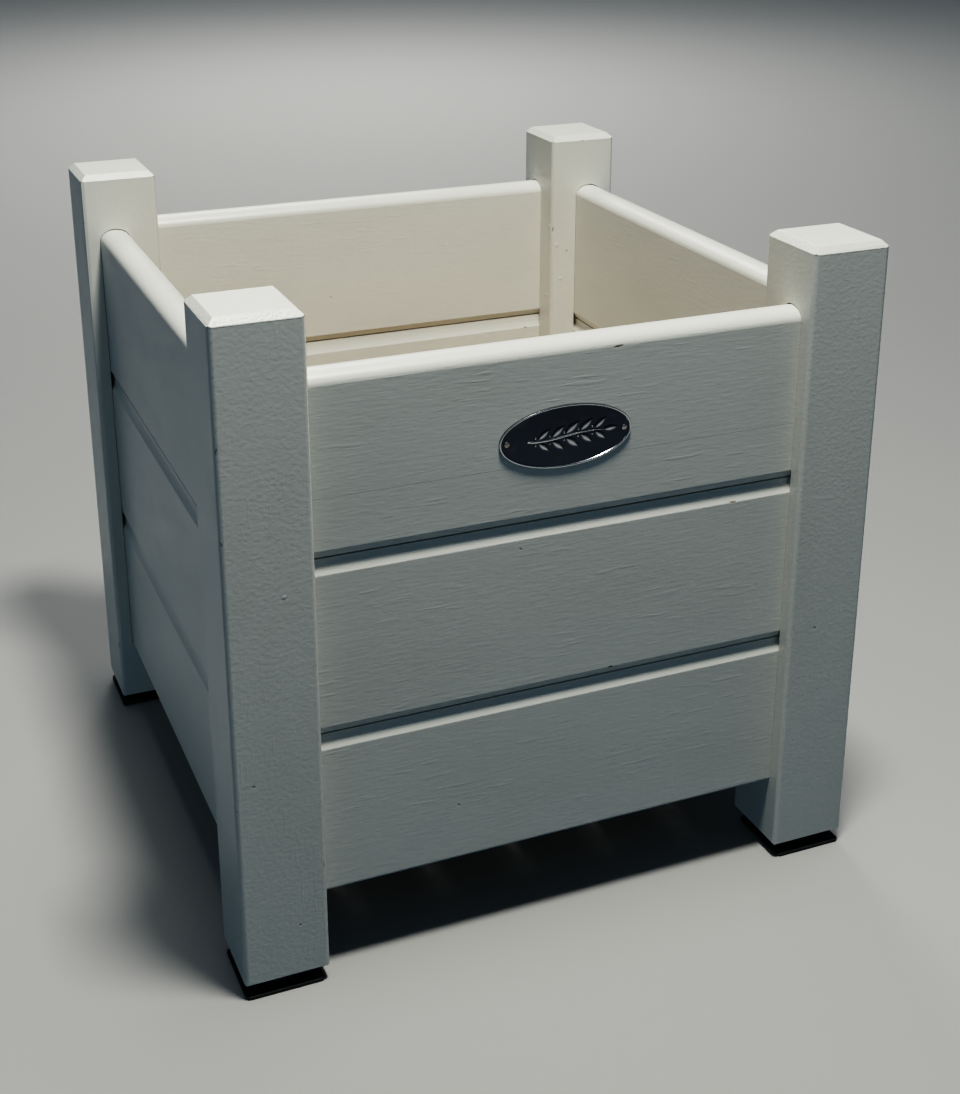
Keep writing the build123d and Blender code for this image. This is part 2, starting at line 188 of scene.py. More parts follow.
class Graph:
    """The node tree of one material, with one way to make a node."""

    def __init__(self, name: str) -> None:
        """Start an empty material.

        Args:
            name: the material's name.
        """
        self.material = bpy.data.materials.new(name)
        self.material.use_nodes = True
        self.tree = self.material.node_tree
        self.tree.nodes.clear()

    def node(self, kind: str, settings: dict[str, Any], inputs: dict[Any, Any]) -> bpy.types.Node:
        """Make a node, set its settings, then fill its sockets.

        Args:
            kind: the node's type.
            settings: properties of the node.
            inputs: socket name or number to a value, a socket or a Signal.

        Returns:
            The node.
        """
        made = self.tree.nodes.new(kind)
        for key, value in settings.items():
            setattr(made, key, value)
        for key, value in inputs.items():
            if isinstance(value, Signal):
                value = value.socket
            if isinstance(value, bpy.types.NodeSocket):
                self.tree.links.new(value, made.inputs[key])
            else:
                made.inputs[key].default_value = value
        return made

    def maths(self, operation: str, *terms: Number) -> Signal:
        """A Math node on numbers and signals."""
        made = self.node("ShaderNodeMath", {"operation": operation}, dict(enumerate(terms)))
        return Signal(self, made.outputs[0])

    def attribute(self, name: str) -> bpy.types.Node:
        """The node that reads one of a piece's own attributes."""
        return self.node("ShaderNodeAttribute", {"attribute_name": name}, {})

    def place(self) -> bpy.types.NodeSocket:
        """Where a point of the piece is, in metres."""
        return self.node("ShaderNodeTexCoord", {}, {}).outputs["Object"]

    def split(self, vector: bpy.types.NodeSocket) -> list[Signal]:
        """The three numbers of a vector."""
        parts = self.node("ShaderNodeSeparateXYZ", {}, {"Vector": vector})
        return [Signal(self, output) for output in parts.outputs]

    def stretched(self, vector: bpy.types.NodeSocket, scale: Sequence[float]) -> bpy.types.NodeSocket:
        """A vector with each axis scaled, so that a pattern has its own pitch each way."""
        made = self.node("ShaderNodeMapping", {"vector_type": "POINT"}, {"Vector": vector, "Scale": scale})
        return made.outputs["Vector"]

    def noise(self, vector: bpy.types.NodeSocket, scale: Sequence[float], detail: float = 2.0) -> Signal:
        """Noise from 0 to 1, with a pitch per metre along each axis.

        Args:
            vector: the coordinates.
            scale: waves per metre each way.
            detail: octaves of finer noise on top.

        Returns:
            The noise.
        """
        inputs = {"Vector": self.stretched(vector, scale), "Scale": 1.0, "Detail": detail, "Roughness": 0.55}
        return Signal(self, self.node("ShaderNodeTexNoise", {}, inputs).outputs["Fac"])

    def spots(self, vector: bpy.types.NodeSocket, per_metre: float, radius: float, share: float) -> Signal:
        """Small round spots strewn over a surface.

        Args:
            vector: the coordinates.
            per_metre: cells per metre.
            radius: a spot's radius as a share of its cell.
            share: share of the cells that hold a spot.

        Returns:
            1 in a spot's middle, 0 off the spots.
        """
        cells = self.node("ShaderNodeTexVoronoi", {"feature": "F1"}, {"Vector": vector, "Scale": per_metre})
        chosen = self.split(cells.outputs["Color"])[0].ramp(1.0 - share - 0.01, 1.0 - share + 0.01)
        return Signal(self, cells.outputs["Distance"]).ramp(radius, 0.3 * radius) * chosen

    def blend(self, factor: Number, first: Any, second: Any) -> bpy.types.NodeSocket:
        """Mix two colours.

        Args:
            factor: share of the second colour.
            first: a triple or a socket.
            second: a triple or a socket.

        Returns:
            The mixed colour's socket.
        """
        sockets = {0: factor}
        for index, colour in ((6, first), (7, second)):
            sockets[index] = (*colour, 1.0) if isinstance(colour, tuple) else colour
        return self.node("ShaderNodeMix", {"data_type": "RGBA"}, sockets).outputs[2]

    def relief(self, height_mm: Signal) -> bpy.types.NodeSocket:
        """Normals of a surface raised by a height in millimetres."""
        return self.node("ShaderNodeBump", {}, {"Height": height_mm, "Distance": MM}).outputs["Normal"]

    def surface(self, inputs: dict[str, Any]) -> bpy.types.Material:
        """Close the graph with a Principled shader.

        Args:
            inputs: the shader's sockets.

        Returns:
            The finished material.
        """
        shader = self.node("ShaderNodeBsdfPrincipled", {}, inputs)
        self.node("ShaderNodeOutputMaterial", {}, {"Surface": shader.outputs["BSDF"]})
        return self.material


# ---- Finishes -----------------------------------------------------------------------
@dataclass(frozen=True)
class SatinPaint:
    """Off-white satin paint over timber: raised grain, roller texture, nicks and chipped edges."""

    name: str
    colour: Colour = (0.81, 0.805, 0.74)
    thin: Colour = (0.68, 0.672, 0.605)     # where the paint is thin
    crack: Colour = (0.16, 0.15, 0.13)
    bare: Colour = (0.20, 0.14, 0.09)       # timber under a chip
    gloss: float = 0.34                     # mean roughness
    grain_mm: float = 0.12
    peel_mm: float = 0.07
    peel_pitch: tuple[float, float, float] = (120.0, 260.0, 260.0)
    edge_across: float = 0.0                # mm from the middle line to the worn edges
    edge_through: float = 0.0
    edge_width: float = 3.0
    chips: float = 0.62                     # noise level over which an edge is chipped
    end_grain_mm: float = 0.0               # roughness of the paint on a post's cap

    def make(self) -> bpy.types.Material:
        """Build the material."""
        graph = Graph(self.name)
        coords = graph.attribute(COORDS).outputs["Vector"]
        _, across, through = graph.split(coords)
        line = Signal(graph, graph.attribute(SEAM).outputs["Fac"])
        broad = graph.noise(coords, (7.0, 16.0, 16.0))
        peel = graph.noise(coords, self.peel_pitch, 2.0)
        grain = graph.noise(coords, (60.0, 430.0, 430.0), 3.0)
        strokes = graph.noise(coords, (28.0, 260.0, 260.0), 1.0)
        raised = strokes.ramp(0.62, 0.72) * graph.noise(coords, (12.0, 22.0, 22.0)).ramp(0.45, 0.6)
        nicks = graph.spots(coords, 60.0, 0.10, 0.035)
        blobs = graph.spots(coords, 22.0, 0.05, 0.16)
        edge = abs(across).near(self.edge_across * MM, self.edge_width * MM)
        edge = edge * abs(through).near(self.edge_through * MM, self.edge_width * MM)
        worn = edge * graph.noise(coords, (45.0, 120.0, 120.0), 3.0).ramp(self.chips, self.chips + 0.04)
        glue = line.near(0.0, 0.4 * MM)
        cap = line.ramp(-1.0 * MM, 0.5 * MM) * line.ramp(20.0 * MM, 19.0 * MM)
        brushed = graph.noise(coords, (700.0, 330.0, 330.0), 3.0)
        thin = broad.ramp(0.35, 0.75) * 0.25 + grain.ramp(0.55, 0.8) * 0.10 + edge * 0.15
        colour = graph.blend(thin, self.colour, self.thin)
        colour = graph.blend(nicks * 0.55 + glue * 0.14, colour, self.crack)
        colour = graph.blend(worn, colour, self.bare)
        height = grain * self.grain_mm + peel * self.peel_mm + raised * 0.05 + blobs * 0.22
        height = height + cap * brushed * self.end_grain_mm
        height = height - nicks * 0.2 - glue * 0.04 - worn * 0.2
        rough = graph.noise(coords, (25.0, 60.0, 60.0)) * 0.16 + (self.gloss - 0.08) + worn * 0.4
        return graph.surface({"Base Color": colour, "Roughness": rough, "Normal": graph.relief(height)})


@dataclass(frozen=True)
class BareTimber:
    """Sawn, oiled softwood with growth rings and open grain."""

    name: str
    run: Run
    early: Colour = (0.46, 0.30, 0.155)
    late: Colour = (0.26, 0.145, 0.065)

    def make(self) -> bpy.types.Material:
        """Build the material."""
        graph = Graph(self.name)
        coords = graph.place()
        lengthwise = self.run is Run.ALONG_X
        rings = graph.noise(coords, (2.0, 28.0, 28.0) if lengthwise else (28.0, 2.0, 28.0), 1.5)
        fibre = graph.noise(coords, (30.0, 600.0, 600.0) if lengthwise else (600.0, 30.0, 600.0), 3.0)
        bands = graph.maths("SINE", rings * 70.0) * 0.5 + 0.5
        knots = graph.spots(coords, 7.0, 0.13, 0.3)
        dirt = graph.noise(coords, (9.0, 9.0, 9.0), 4.0).ramp(0.45, 0.8)
        colour = graph.blend(bands * 0.6 + fibre * 0.3, self.early, self.late)
        colour = graph.blend(knots, colour, (0.11, 0.05, 0.022))
        colour = graph.blend(dirt * 0.5, colour, (0.12, 0.085, 0.05))
        height = fibre * 0.12 + bands * 0.08
        rough = fibre * 0.2 + 0.55
        return graph.surface({"Base Color": colour, "Roughness": rough, "Normal": graph.relief(height)})


@dataclass(frozen=True)
class BlackMoulding:
    """Black rubber or plastic with a fine grain and a little grey dust."""

    name: str
    colour: Colour
    roughness: float
    grain_mm: float

    def make(self) -> bpy.types.Material:
        """Build the material."""
        graph = Graph(self.name)
        coords = graph.place()
        grain = graph.noise(coords, (900.0, 900.0, 900.0), 2.0)
        dust = graph.noise(coords, (90.0, 90.0, 90.0), 4.0).ramp(0.5, 0.75)
        colour = graph.blend(dust * 0.35, self.colour, (0.16, 0.16, 0.155))
        rough = dust * 0.25 + self.roughness
        return graph.surface({"Base Color": colour, "Roughness": rough,
                              "Normal": graph.relief(grain * self.grain_mm)})


@dataclass(frozen=True)
class DarkNickel:
    """Polished metal with a painted dark reflection of the cool surround, and painted highlights on the rim
    and the high relief, partly rubbed metal.
    """

    name: str
    # Painted reflection: the plate's colour is darkened and tinted blue to stand for the dark surround it
    # mirrors.
    dark: Colour = (0.07, 0.085, 0.11)
    bright: Colour = (0.72, 0.73, 0.74)

    def make(self) -> bpy.types.Material:
        """Build the material."""
        graph = Graph(self.name)
        coords = graph.place()
        high = Signal(graph, graph.attribute(RELIEF).outputs["Fac"])
        smudge = graph.noise(coords, (60.0, 60.0, 60.0), 3.0)
        scratches = graph.noise(coords, (30.0, 30.0, 2600.0), 2.0)
        # Painted highlight: the rim and the high relief are brightened, partly as rubbed metal, with random
        # smudges.
        worn_and_highlight_mask = high.ramp(0.15, 0.8) * 0.9 + smudge.ramp(0.5, 0.9) * 0.08
        colour = graph.blend(worn_and_highlight_mask, self.dark, self.bright)
        rough = smudge * 0.16 + scratches * 0.05 + 0.08
        height = scratches * 0.004 + smudge * 0.02
        return graph.surface({"Base Color": colour, "Roughness": rough, "Metallic": 1.0,
                              "Normal": graph.relief(height)})


@dataclass(frozen=True)
class FastenerSteel:
    """Zinc-plated steel with dull patches."""

    name: str
    colour: Colour = (0.50, 0.49, 0.46)

    def make(self) -> bpy.types.Material:
        """Build the material."""
        graph = Graph(self.name)
        coords = graph.place()
        patches = graph.noise(coords, (400.0, 400.0, 400.0), 3.0)
        colour = graph.blend(patches.ramp(0.45, 0.7), self.colour, (0.24, 0.22, 0.19))
        rough = patches * 0.3 + 0.22
        return graph.surface({"Base Color": colour, "Roughness": rough, "Metallic": 1.0})


@dataclass(frozen=True)
class PaleFloor:
    """Plain pale studio floor."""

    name: str = "studio_floor"
    colour: Colour = (0.45, 0.447, 0.435)

    def make(self) -> bpy.types.Material:
        """Build the material."""
        return Graph(self.name).surface({"Base Color": (*self.colour, 1.0), "Roughness": 0.75})


# ---- Mesh work ----------------------------------------------------------------------
def stand(name: str, data: Any) -> bpy.types.Object:
    """Put a new object that holds a mesh, lamp or camera into the scene."""
    thing = bpy.data.objects.new(name, data)
    bpy.context.scene.collection.objects.link(thing)
    return thing


def block(size: Vector, centre: Vector) -> BMesh:
    """A new mesh that holds one box.

    Args:
        size: the box's length each way.
        centre: its middle.

    Returns:
        The mesh.
    """
    bm = bmesh.new()
    bmesh.ops.create_cube(bm, size=1.0, matrix=Matrix.Translation(centre) @ Matrix.Diagonal((*size, 1.0)))
    return bm


def facing(bm: BMesh, direction: Vector) -> list[BMFace]:
    """Find the faces that point in a direction, furthest that way.

    Args:
        bm: the mesh.
        direction: a unit vector.

    Returns:
        The faces.
    """
    bm.normal_update()
    faces = [face for face in bm.faces if face.normal.dot(direction) > 0.99]
    reach = max(face.calc_center_median().dot(direction) for face in faces)
    return [face for face in faces if face.calc_center_median().dot(direction) > reach - TOUCH * MM]


def pull(bm: BMesh, face: BMFace, rise: float, squeeze: float) -> BMFace:
    """Extrude a face up or down and scale it through the board's thickness.

    Args:
        bm: the mesh.
        face: the face.
        rise: how far it moves along Z, in mm.
        squeeze: scale along Y.

    Returns:
        The moved face.
    """
    moved = bmesh.ops.extrude_discrete_faces(bm, faces=[face])["faces"][0]
    bmesh.ops.translate(bm, verts=moved.verts, vec=(0.0, 0.0, rise * MM))
    bmesh.ops.scale(bm, verts=moved.verts, vec=(1.0, squeeze, 1.0))
    return moved


def round_edges(bm: BMesh, edges: list[BMEdge], radius: float, steps: int) -> None:
    """Round edges.

    Args:
        bm: the mesh.
        edges: the edges.
        radius: distance taken off each side, in mm.
        steps: faces round the edge.
    """
    bmesh.ops.bevel(bm, geom=edges, offset=radius * MM, offset_type="OFFSET", affect="EDGES",
                    segments=steps, profile=0.5, material=-1, clamp_overlap=True)


def parallel(bm: BMesh, axis: int, sharp: float = 0.0) -> list[BMEdge]:
    """Find the edges along an axis.

    Args:
        bm: the mesh.
        axis: 0, 1 or 2 for X, Y or Z.
        sharp: the least angle between an edge's faces, in degrees.

    Returns:
        The edges.
    """
    found = []
    for edge in bm.edges:
        run = (edge.verts[1].co - edge.verts[0].co).normalized()
        if abs(run[axis]) > 0.999 and edge.calc_face_angle(0.0) >= math.radians(sharp):
            found.append(edge)
    return found


def slice_off(bm: BMesh, point: Vector, normal: Vector) -> None:
    """Cut away what is beyond a plane and close the cut.

    Args:
        bm: the mesh.
        point: a point on the plane.
        normal: the side that is cut away.
    """
    geometry = bm.verts[:] + bm.edges[:] + bm.faces[:]
    cut = bmesh.ops.bisect_plane(bm, geom=geometry, plane_co=point, plane_no=normal, clear_outer=True)
    rim = [item for item in cut["geom_cut"] if isinstance(item, BMEdge)]
    bmesh.ops.holes_fill(bm, edges=rim)


def turned(outline: Sequence[tuple[float, float]], steps: int) -> BMesh:
    """A solid of revolution about Z.

    Args:
        outline: radius and height of each point in mm, from the axis to the axis.
        steps: faces round the axis.

    Returns:
        The mesh.
    """
    bm = bmesh.new()
    verts = [bm.verts.new((radius * MM, 0.0, height * MM)) for radius, height in outline]
    edges = [bm.edges.new(pair) for pair in zip(verts, verts[1:])]
    bmesh.ops.spin(bm, geom=verts + edges, axis=(0.0, 0.0, 1.0), cent=(0.0, 0.0, 0.0),
                   angle=2 * math.pi, steps=steps, use_merge=True)
    bmesh.ops.remove_doubles(bm, verts=bm.verts, dist=0.001 * MM)
    bmesh.ops.recalc_face_normals(bm, faces=bm.faces)
    return bm


def gather(parts: Sequence[BMesh]) -> BMesh:
    """Put several meshes into one.

    Args:
        parts: the meshes, which are used up.

    Returns:
        The whole.
    """
    whole = bmesh.new()
    for part in parts:
        mesh = bpy.data.meshes.new("part")
        part.to_mesh(mesh)
        part.free()
        whole.from_mesh(mesh)
        bpy.data.meshes.remove(mesh)
    return whole


def carve(bm: BMesh, cutters: Sequence[BMesh]) -> BMesh:
    """Take solids away from a solid.

    Args:
        bm: the solid, which is used up.
        cutters: what is taken away, used up too.

    Returns:
        What is left.
    """
    objects = []
    for index, part in enumerate([bm, *cutters]):
        mesh = bpy.data.meshes.new(f"carving_{index}")
        part.to_mesh(mesh)
        part.free()
        objects.append(stand(mesh.name, mesh))
    for cutter in objects[1:]:
        boolean = objects[0].modifiers.new("carve", "BOOLEAN")
        boolean.operation = "DIFFERENCE"
        boolean.solver = "EXACT"
        boolean.object = cutter
    carved = objects[0].evaluated_get(bpy.context.evaluated_depsgraph_get())
    left = bmesh.new()
    left.from_mesh(carved.to_mesh())
    carved.to_mesh_clear()
    for thing in objects:
        mesh = thing.data
        bpy.data.objects.remove(thing)
        bpy.data.meshes.remove(mesh)
    return left


def mark_timber(bm: BMesh, order: tuple[int, int, int], name: str, seam: float = FAR) -> None:
    """Store each vertex's place in its piece, shifted so that no two pieces share a pattern.

    Args:
        bm: the mesh, still in its own axes.
        order: which axes run along, across and through the piece.
        name: the piece's name, which sets the shift along the grain.
        seam: height of the glue line or cap line in mm.
    """
    shift = (zlib.crc32(name.encode()) % PATTERN_STEPS) * PATTERN_STEP
    place = bm.verts.layers.float_vector.new(COORDS)
    line = bm.verts.layers.float.new(SEAM)
    for vert in bm.verts:
        vert[place] = Vector([vert.co[axis] for axis in order]) + Vector((shift, 0.0, 0.0))
        vert[line] = vert.co.z - seam * MM


def publish(bm: BMesh, name: str, material: bpy.types.Material,
            place: Matrix = Matrix.Identity(4), replaced: Sequence[str] = ()) -> bpy.types.Object:
    """Turn a mesh into a finished piece of the planter.

    Args:
        bm: the mesh, which is used up.
        name: the piece's name.
        material: its finish.
        place: what brings the mesh from its own axes to the frame's.
        replaced: the nodes that it stands for.

    Returns:
        The object.
    """
    bmesh.ops.transform(bm, matrix=place, verts=bm.verts)
    mesh = bpy.data.meshes.new(name)
    bm.to_mesh(mesh)
    bm.free()
    mesh.shade_smooth()
    mesh.set_sharp_from_angle(angle=math.radians(SMOOTH_BELOW))
    mesh.materials.append(material)
    piece = stand(name, mesh)
    normals = piece.modifiers.new("flat_faces_stay_flat", "WEIGHTED_NORMAL")
    normals.keep_sharp = True
    normals.weight = 100
    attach(piece, BODY)
    if replaced:
        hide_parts(*replaced)
    LOG.info("%s: %d faces, %s", name, len(mesh.polygons), material.name)
    return piece


# ---- Sub-assemblies -----------------------------------------------------------------
@dataclass
class Post:
    """A square post with rounded edges, a mitred cap and two stopped housings."""

    corner: Corner
    edge_radius: float = 4.0
    cap_chamfer: float = 5.5
    foot_chamfer: float = 1.0
    softening: float = 0.45
    housing_depth: float = 18.0
    housing_play: float = 0.35
    crown: float = 10.0
    crown_gap: float = 1.0

    def __post_init__(self) -> None:
        """Read the front left post and its boards from the frame."""
        self.low, self.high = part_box("post_front_left")
        self.side = (self.high.x - self.low.x) / MM
        self.middle = (self.low + self.high) / 2
        board_low, board_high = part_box("board_front_top")
        self.slot_middle = (board_low.y + board_high.y) / 2 / MM
        self.board_thick = (board_high.y - board_low.y) / MM
        self.spring = board_high.z / MM - self.crown
        self.slot_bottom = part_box("board_front_bottom")[0].z / MM

    def housing(self) -> BMesh:
        """The cutter for the housing in the post's +X face, with its arched top."""
        width = self.board_thick + 2 * self.housing_play
        arch = width / 2
        start = self.high.x / MM - self.housing_depth
        length = self.housing_depth + 5.0
        height = self.spring + arch - self.slot_bottom
        centre = Vector((start + length / 2, self.slot_middle, self.slot_bottom + height / 2)) * MM
        bm = block(Vector((length, width, height)) * MM, centre)
        top = facing(bm, Vector((0, 0, 1)))[0]
        shoulders = [edge for edge in top.edges if edge in parallel(bm, 0)]
        round_edges(bm, shoulders, arch - HAIR, 10)
        upper = [vert for vert in bm.verts if vert.co.z > self.spring * MM]
        squash = (self.crown + self.crown_gap) / arch
        about_spring = Matrix.Translation((0.0, 0.0, -self.spring * MM))
        bmesh.ops.scale(bm, vec=(1.0, 1.0, squash), space=about_spring, verts=upper)
        return bm

    def shape(self) -> BMesh:
        """The post at the front left corner."""
        bm = block(self.high - self.low, self.middle)
        round_edges(bm, parallel(bm, 2), self.edge_radius, 6)
        reach = self.side / 2 * MM
        for step in range(4):
            side = Matrix.Rotation(step * math.pi / 2, 3, "Z") @ Vector((1.0, 0.0, 0.0))
            shoulder = self.middle + side * reach
            shoulder.z = self.high.z - self.cap_chamfer * MM
            slice_off(bm, shoulder, (side + Vector((0, 0, 1))).normalized())
            shoulder.z = self.low.z + self.foot_chamfer * MM
            slice_off(bm, shoulder, (side - Vector((0, 0, 1))).normalized())
        bm.normal_update()
        cap_line = self.high.z - (self.cap_chamfer + 1.0) * MM
        sharp = [edge for edge in bm.edges
                 if min(vert.co.z for vert in edge.verts) > cap_line
                 and edge.calc_face_angle(0.0) > math.radians(25.0)]
        round_edges(bm, sharp, self.softening, 2)
        other = self.housing()
        # The second housing is the first one mirrored across the post's diagonal.
        bmesh.ops.transform(other, verts=other.verts, matrix=self.across_diagonal())
        bmesh.ops.reverse_faces(other, faces=other.faces)
        return carve(bm, [self.housing(), other])

    @staticmethod
    def across_diagonal() -> Matrix:
        """Mirror that swaps X and Y."""
        return Matrix(((0, 1, 0, 0), (1, 0, 0, 0), (0, 0, 1, 0), (0, 0, 0, 1)))

    def build(self, paint: bpy.types.Material) -> None:
        """Make the post and put it at its corner.

        Args:
            paint: its finish.
        """
        name = f"post_{self.corner.label}"
        bm = self.shape()
        centred = Matrix.Translation((-self.middle.x, -self.middle.y, 0.0))
        bmesh.ops.transform(bm, matrix=centred, verts=bm.verts)
        cap_line = self.high.z / MM - self.cap_chamfer
        mark_timber(bm, (2, 0, 1), name, cap_line)
        place = self.corner.turn @ centred.inverted()
        publish(bm, f"{name}_painted", paint, place, [name])


@dataclass
class PinFillers:
    """Small paint-filled marks where steel pins were driven into one post."""

    corner: Corner
    radius: float = 2.3
    proud: float = 0.35

    def build(self, paint: bpy.types.Material) -> None:
        """Make a low dome on the post over each pin.

        Args:
            paint: the domes' finish.
        """
        node = f"pins_{self.corner.label}"
        pins = bmesh.new()
        pins.from_mesh(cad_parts[node].data)
        bmesh.ops.remove_doubles(pins, verts=pins.verts, dist=TOUCH * MM)
        low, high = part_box(f"post_{self.corner.label}")
        inner = Vector((min(abs(low.x), abs(high.x)), min(abs(low.y), abs(high.y)), 0.0))
        domes = []
        for centre, axis in self.pin_lines(pins):
            spot = centre.copy()
            spot[axis] = math.copysign(inner[axis], centre[axis])
            out = Vector((0.0, 0.0, 0.0))
            out[axis] = -math.copysign(1.0, centre[axis])
            domes.append(self.dome(spot, out))
        pins.free()
        bm = gather(domes)
        mark_timber(bm, (2, 0, 1), node)
        publish(bm, f"pin_fillers_{self.corner.label}", paint)

    def dome(self, spot: Vector, out: Vector) -> BMesh:
        """Make one filled mark: a low dome sunk a little into the post.

        Args:
            spot: its middle on the post's face.
            out: the way the face points.

        Returns:
            The dome.
        """
        rings = [(self.radius * math.cos(angle), self.proud * math.sin(angle))
                 for angle in (math.radians(15.0 * step) for step in range(6))]
        bm = turned([(0.0, -0.3), (self.radius, -0.3), *rings, (0.0, self.proud)], 16)
        place = Matrix.Translation(spot) @ out.to_track_quat("Z", "Y").to_matrix().to_4x4()
        bmesh.ops.transform(bm, matrix=place, verts=bm.verts)
        return bm

    @staticmethod
    def pin_lines(pins: BMesh) -> list[tuple[Vector, int]]:
        """Find the middle and the long axis of each separate pin.

        Args:
            pins: one mesh that holds them all.

        Returns:
            A middle and an axis for each pin, in a fixed order.
        """
        found = []
        left = set(pins.verts)
        while left:
            island = {left.pop()}
            edge_front = set(island)
            while edge_front:
                linked = {edge.other_vert(vert) for vert in edge_front for edge in vert.link_edges}
                edge_front = linked - island
                island |= edge_front
            left -= island
            low = Vector([min(vert.co[axis] for vert in island) for axis in range(3)])
            high = Vector([max(vert.co[axis] for vert in island) for axis in range(3)])
            size = high - low
            found.append(((low + high) / 2, 0 if size.x > size.y else 1))
        return sorted(found, key=lambda item: (item[1], item[0].z))


@dataclass
class Board:
    """A tongued-and-grooved wall board with bevelled joint edges."""

    wall: Wall
    level: Level
    face_height: float = 128.5
    joint: float = 19.7
    bevel_in: float = 3.0
    bevel_up: float = 5.8
    joint_gap: float = 1.2
    tongue: float = 8.0
    groove: float = 8.6
    crown: float = 10.0
    softening: float = 0.6
    lower_radius: float = 3.0
    glue_line: float = -22.5       # over the middle of the face
    score_depth: float = 0.12

    def __post_init__(self) -> None:
        """Read the size and place of the front wall's board at this level."""
        low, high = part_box(f"board_front_{self.level.name.lower()}")
        self.length = (high.x - low.x) / MM
        self.thick = (high.y - low.y) / MM
        self.middle_y = (low.y + high.y) / 2
        below = 0.0 if self.level is Level.BOTTOM else self.bevel_up
        self.middle_z = low.z + (below + self.face_height / 2) * MM

    @property
    def name(self) -> str:
        """The board's node."""
        return f"board_{self.wall.name.lower()}_{self.level.name.lower()}"

    @property
    def laminated(self) -> bool:
        """Whether the board was glued up from two strips."""
        return (self.wall, self.level) == (Wall.FRONT, Level.TOP)

    def shape(self) -> BMesh:
        """The board along X, with the middle of its face at the origin."""
        bm = block(Vector((self.length, self.thick, self.face_height)) * MM, Vector())
        rib = (self.thick - 2 * self.bevel_in) / self.thick
        if self.level is Level.BOTTOM:
            foot = facing(bm, Vector((0, 0, -1)))[0]
            lower = [edge for edge in foot.edges if edge in parallel(bm, 0)]
            round_edges(bm, lower, self.lower_radius, 4)
        else:
            under = pull(bm, facing(bm, Vector((0, 0, -1)))[0], -self.bevel_up, rib)
            under = pull(bm, under, 0.0, self.groove / (self.thick * rib))
            pull(bm, under, self.tongue, 1.0)
        if self.level is Level.TOP:
            self.add_crown(bm)
        else:
            over = pull(bm, facing(bm, Vector((0, 0, 1)))[0], self.bevel_up, rib)
            over = pull(bm, over, self.joint - 2 * self.bevel_up - self.joint_gap, 1.0)
            over = pull(bm, over, 0.0, self.tongue / (self.thick * rib))
            pull(bm, over, self.tongue + self.joint_gap, 1.0)
        bm.normal_update()
        face_lines = [edge for edge in parallel(bm, 0, 20.0)
                      if abs(abs(edge.verts[0].co.y) - self.thick / 2 * MM) < TOUCH * MM]
        round_edges(bm, face_lines, self.softening, 2)
        if self.laminated:
            self.score(bm)
        return bm

    def add_crown(self, bm: BMesh) -> None:
        """Raise the top of the board into its elliptical crown.

        Args:
            bm: the board.
        """
        radius = self.thick / 2
        top = pull(bm, facing(bm, Vector((0, 0, 1)))[0], radius, 1.0)
        shoulders = [edge for edge in top.edges if edge in parallel(bm, 0)]
        round_edges(bm, shoulders, radius - HAIR, 10)
        spring = self.face_height / 2 * MM
        upper = [vert for vert in bm.verts if vert.co.z > spring + TOUCH * MM]
        about_spring = Matrix.Translation((0.0, 0.0, -spring))
        bmesh.ops.scale(bm, vec=(1.0, 1.0, self.crown / radius), space=about_spring, verts=upper)

    def score(self, bm: BMesh) -> None:
        """Sink a fine line in both faces where the two strips of the board were glued.

        Args:
            bm: the board.
        """
        for offset in (-0.35, 0.0, 0.35):
            geometry = bm.verts[:] + bm.edges[:] + bm.faces[:]
            height = Vector((0.0, 0.0, (self.glue_line + offset) * MM))
            bmesh.ops.bisect_plane(bm, geom=geometry, plane_co=height, plane_no=(0.0, 0.0, 1.0))
        near_face = self.thick / 2 * MM * 0.99
        for vert in bm.verts:
            on_line = abs(vert.co.z - self.glue_line * MM) < TOUCH * MM
            if on_line and abs(vert.co.y) > near_face:
                vert.co.y -= math.copysign(self.score_depth * MM, vert.co.y)

    def build(self, paint: bpy.types.Material) -> None:
        """Make the board and put it in its wall.

        Args:
            paint: its finish.
        """
        bm = self.shape()
        mark_timber(bm, (0, 2, 1), self.name, self.glue_line if self.laminated else FAR)
        place = self.wall.turn @ Matrix.Translation((0.0, self.middle_y, self.middle_z))
        publish(bm, f"{self.name}_painted", paint, place, [self.name])


@dataclass
class Foot:
    """A round glide on a square rubber pad, under one post."""

    corner: Corner
    pad_corner: float = 4.0
    pad_softening: float = 0.6
    glide_edge: float = 1.5

    def build(self, rubber: bpy.types.Material, plastic: bpy.types.Material) -> None:
        """Make the pad and the glide.

        Args:
            rubber: the pad's finish.
            plastic: the glide's finish.
        """
        self.build_pad(rubber)
        self.build_glide(plastic)

    def build_pad(self, rubber: bpy.types.Material) -> None:
        """Make a square pad with rounded corners and soft edges.

        Args:
            rubber: its finish.
        """
        node = f"foot_pad_{self.corner.label}"
        low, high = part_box(node)
        bm = block(high - low, (low + high) / 2)
        round_edges(bm, parallel(bm, 2), self.pad_corner, 6)
        flat = facing(bm, Vector((0, 0, 1))) + facing(bm, Vector((0, 0, -1)))
        round_edges(bm, list({edge for face in flat for edge in face.edges}), self.pad_softening, 2)
        publish(bm, f"{node}_rubber", rubber, replaced=[node])

    def build_glide(self, plastic: bpy.types.Material) -> None:
        """Make a round glide with a moulded step and rounded edges.

        Args:
            plastic: its finish.
        """
        node = f"foot_glide_{self.corner.label}"
        low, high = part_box(node)
        radius = (high.x - low.x) / 2 / MM
        height = (high.z - low.z) / MM
        edge = self.glide_edge
        lower = [(radius - edge + edge * math.sin(angle), edge - edge * math.cos(angle))
                 for angle in (math.radians(18.0 * step) for step in range(6))]
        upper = [(radius, height - 3.2), (radius - 0.7, height - 2.7), (radius - 0.7, height)]
        bm = turned([(0.0, 0.0), *lower, *upper, (0.0, height)], 64)
        middle = (low + high) / 2
        place = Matrix.Translation((middle.x, middle.y, low.z))
        publish(bm, f"{node}_moulded", plastic, place, [node])


